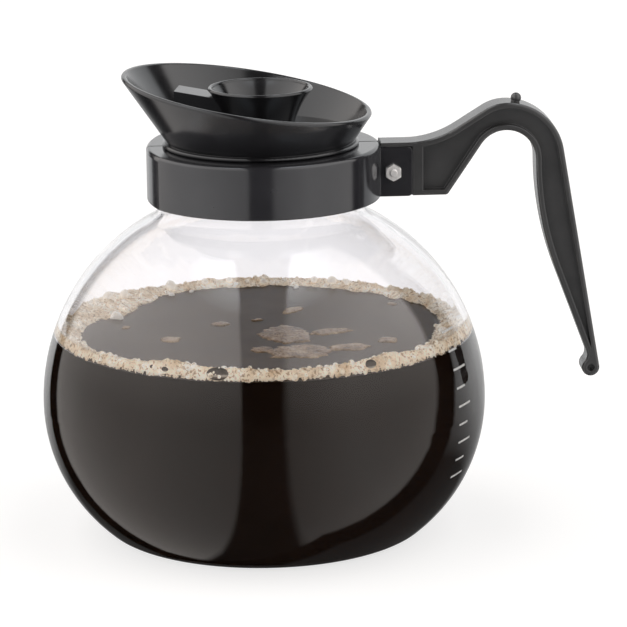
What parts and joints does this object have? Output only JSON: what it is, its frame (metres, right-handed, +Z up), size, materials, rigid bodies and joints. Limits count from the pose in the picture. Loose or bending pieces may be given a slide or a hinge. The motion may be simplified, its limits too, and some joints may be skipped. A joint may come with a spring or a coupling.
{
  "type": "glass coffee jug",
  "caption": "Round glass coffee jug with a clamped black collar, an I-section side handle and a lift-off funnel lid with a central grip cup.",
  "frame": {"origin": "centre of the flat base, on the surface the jug stands on", "axes": "+Z up along the bowl's axis, +X towards the handle, the collar's nut on the -Y side"},
  "size_m": [0.2081, 0.165, 0.1724],
  "materials": {
    "glass": "clear polished borosilicate glass",
    "collar_plastic": "glossy black moulding",
    "handle_plastic": "satin black moulding",
    "lid_plastic": "glossy black moulding",
    "steel": "bright zinc-plated steel",
    "silicone": "matt black silicone",
    "coffee": "black coffee, wet surface",
    "coffee_foam": "tan coffee foam",
    "print": "white fired-on level marks"
  },
  "bodies": {
    "jug": {"glass_bowl": "glass", "neck_cushion": "silicone", "collar_front": "collar_plastic", "collar_rear": "collar_plastic", "handle": "handle_plastic", "clamp_screw": "steel", "clamp_nut": "steel"},
    "seal": {"lid_seal": "silicone"},
    "lid": {"lid_funnel": "lid_plastic", "lid_grip_cup": "lid_plastic"}
  },
  "joints": [
    {"name": "lid_lift", "type": "slide", "parent": "jug", "child": "seal", "axis": [0, 0, 1], "range_m": [0, 0.06]},
    {"name": "lid_turn", "type": "hinge", "parent": "seal", "child": "lid", "pos_m": [0, 0, 0.139], "axis": [0, 0, 1], "continuous": true}
  ]
}
